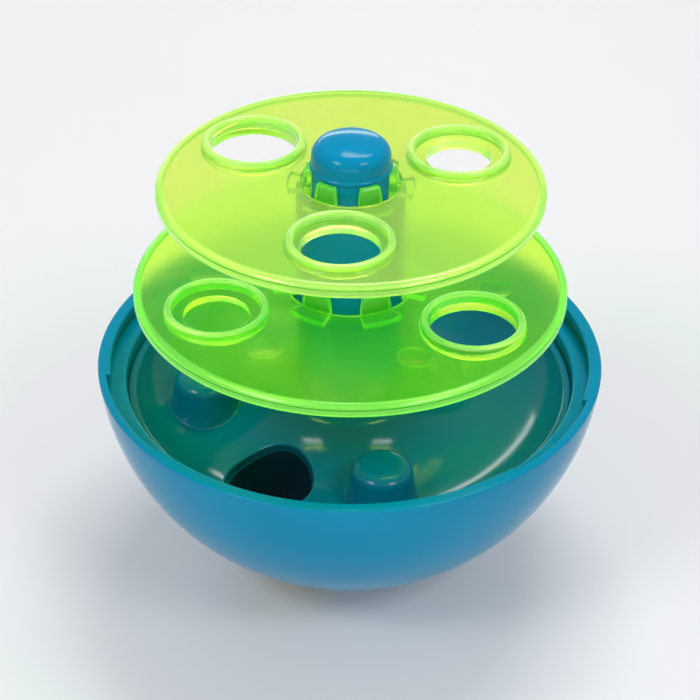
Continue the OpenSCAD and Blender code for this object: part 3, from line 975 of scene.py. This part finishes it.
blue = moulded_plastic(
    "blue_plastic", linear(0, 138, 180), linear(0, 144, 187), rough_low=0.10, rough_high=0.15, shine=0.15)
# The tray's blue is darker than the bowl's: painted shade of the bowl's inside
shaded_tray_blue = moulded_plastic(
    "tray_plastic", linear(0, 117, 150), linear(0, 123, 157), rough_low=0.11, rough_high=0.17, shine=0.3)
green = fluorescent_plastic(
    "green_plastic", (0.86, 0.94, 0.14, 1), (0.90, 0.96, 0.16, 1),
    clear_share=0.80, flat_glow=0.025, edge_glow=0.25, coat=0.6)
# Lower disc's copy of the same plastic, clearer and less yellow: painted shade under the upper disc
shaded_green = fluorescent_plastic(
    "green_plastic_shaded_lower", (0.78, 0.93, 0.09, 1), (0.82, 0.95, 0.11, 1),
    clear_share=0.95, flat_glow=0.10, edge_glow=0.25, coat=0.2)
clear_green = fluorescent_plastic(
    "green_plastic_hub", (0.70, 0.93, 0.14, 1), (0.74, 0.95, 0.16, 1),
    clear_share=0.96, flat_glow=0.05, edge_glow=0.25, coat=0.6)
# Copy for the outer edges, less clear and paler: painted glow of the light the plastic gathers there
edge_glow_green = fluorescent_plastic(
    "green_plastic_edge_glow", (0.80, 0.94, 0.19, 1), (0.84, 0.96, 0.21, 1),
    clear_share=0.65, flat_glow=0.03, edge_glow=0.14, coat=0.2)
# Its edge copy, greener: painted shade under the upper disc, with painted edge glow
shaded_edge_glow_green = fluorescent_plastic(
    "green_plastic_edge_glow_shaded_lower", (0.40, 0.91, 0.11, 1), (0.44, 0.93, 0.13, 1),
    clear_share=0.65, flat_glow=0.03, edge_glow=0.20, coat=0.2)
# Copy for the collar beads, less clear and paler: painted glow of the light gathered there
bead_glow_green = fluorescent_plastic(
    "green_plastic_bead_glow", (0.74, 0.95, 0.23, 1), (0.78, 0.97, 0.26, 1),
    clear_share=0.60, flat_glow=0.03, edge_glow=0.22, coat=0.2)
steel = plated_steel("steel")

LOWER_IN_R = COLUMN_R + TURN_FIT
UPPER_IN_R = NECK_R + TURN_FIT
lower_disc = make_disc("lower_tier_disc", LOWER_DISC_R, LOWER_Z, LOWER_IN_R, LOWER_HOLE_ANGLE,
                       (LARGE_HOLE_R, MIDDLE_HOLE_R, SMALL_HOLE_R), 2, True)
upper_disc = make_disc("upper_tier_disc", UPPER_DISC_R, UPPER_Z, UPPER_IN_R, UPPER_HOLE_ANGLE,
                       (LARGE_HOLE_R, MIDDLE_HOLE_R, SMALL_HOLE_R), None, False)
paint_glow_and_crease_shade(lower_disc, LOWER_DISC_R, LOWER_Z, LOWER_IN_R)
paint_glow_and_crease_shade(upper_disc, UPPER_DISC_R, UPPER_Z, UPPER_IN_R)

for obj, node, body, slot, material in (
        (make_bowl(), "bowl_shell", "base", "blue_plastic", blue),
        (make_tray(), "tray", "base", "tray_plastic", shaded_tray_blue),
        (make_column(), "column", "base", "blue_plastic", blue),
        (lower_disc, "lower_disc", "lower_tier", "green_plastic", shaded_green),
        (upper_disc, "upper_disc", "upper_tier", "green_plastic", green)):
    dress(obj, material)
    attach(obj, body)
    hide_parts(node)

for disc, in_r, r, z, edge_material in (
        (lower_disc, LOWER_IN_R, LOWER_DISC_R, LOWER_Z, shaded_edge_glow_green),
        (upper_disc, UPPER_IN_R, UPPER_DISC_R, UPPER_Z, edge_glow_green)):
    disc.data.materials.append(clear_green)
    disc.data.materials.append(edge_material)
    disc.data.materials.append(bead_glow_green)
    # Hub faces take the clear copy; outer edge and bead faces take the copies with painted glow
    for face in disc.data.polygons:
        rho = math.hypot(face.center.x, face.center.y) / MM
        height = face.center.z / MM - z
        if rho < in_r + FINGER_T + NEAR:
            face.material_index = 1
        elif rho > r - EDGE_ROUND + NEAR:
            face.material_index = 2
        elif height > COLLAR_H - COLLAR_T / 2:
            face.material_index = 3

for node, material in (("ballast_weight", steel), ("ballast_cap", blue),
                       ("cap_screws", steel), ("column_screws", steel)):
    dress(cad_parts[node], material)


# Stage, light and camera

floor_mesh = bpy.data.meshes.new("floor")
FLOOR_HALF = 4.0
FLOOR_DROP = 0.3 * MM
floor_mesh.from_pydata([(-FLOOR_HALF, -FLOOR_HALF, 0), (FLOOR_HALF, -FLOOR_HALF, 0),
                        (FLOOR_HALF, FLOOR_HALF, 0), (-FLOOR_HALF, FLOOR_HALF, 0)], [], [(0, 1, 2, 3)])
floor = bpy.data.objects.new("floor", floor_mesh)
floor.location.z = -FLOOR_DROP
bpy.context.scene.collection.objects.link(floor)
dress(floor, pale_floor("pale_floor"))


def soft_light(name, place, width, depth, power, target=(0, 0, 0.07)):
    light = bpy.data.lights.new(name, "AREA")
    light.shape = "RECTANGLE"
    light.size = width
    light.size_y = depth
    light.energy = power
    obj = bpy.data.objects.new(name, light)
    obj.location = place
    obj.rotation_euler = (Vector(target) - Vector(place)).to_track_quat("-Z", "Y").to_euler()
    obj.visible_camera = False
    bpy.context.scene.collection.objects.link(obj)


soft_light("overhead", (0.1, 0.38, 0.95), width=0.55, depth=0.24, power=4.4)
soft_light("back_strip", (-0.25, 1.3, 0.43), width=0.9, depth=0.16, power=2.2)
soft_light("front_left", (-0.62, -0.62, 0.95), width=0.4, depth=0.3, power=3.9)
soft_light("front_right", (0.66, -0.58, 0.95), width=0.4, depth=0.3, power=3.4)
soft_light("front_low", (0.0, -1.1, 0.16), width=0.9, depth=0.16, power=1.7)

world = bpy.data.worlds.new("studio")
world.use_nodes = True
sky = world.node_tree.nodes["Background"]
sky_place = world.node_tree.nodes.new("ShaderNodeTexCoord")
sky_split = world.node_tree.nodes.new("ShaderNodeSeparateXYZ")
world.node_tree.links.new(sky_place.outputs["Generated"], sky_split.inputs["Vector"])
sky_colour = add_ramp(world.node_tree, sky_split.outputs["Z"], (0.50, 0.50, 0.50, 1), (0.33, 0.33, 0.34, 1),
                      low_at=0.08, high_at=0.45)
world.node_tree.links.new(sky_colour, sky.inputs["Color"])
bpy.context.scene.world = world

CAMERA_AZIMUTH = math.radians(4.5)
CAMERA_DISTANCE = 481.0 * MM
CAMERA_ABOVE_RIM = 336.7 * MM
CAMERA_ROLL = 0.0075
CAMERA_LENS = 108.64
AIM = Vector((0.05, 0, RIM_H + 0.94)) * MM

camera = bpy.data.cameras.new("camera")
camera.lens = CAMERA_LENS
camera.sensor_width = 36.0
camera_obj = bpy.data.objects.new("camera", camera)
place = Vector((CAMERA_DISTANCE * math.sin(CAMERA_AZIMUTH), -CAMERA_DISTANCE * math.cos(CAMERA_AZIMUTH),
                RIM_H * MM + CAMERA_ABOVE_RIM))
look = (AIM - place).to_track_quat("-Z", "Y").to_matrix().to_4x4()
camera_obj.matrix_world = Matrix.Translation(place) @ look @ Matrix.Rotation(CAMERA_ROLL, 4, "Z")
bpy.context.scene.collection.objects.link(camera_obj)
bpy.context.scene.camera = camera_obj
bpy.context.scene.view_settings.view_transform = "Standard"
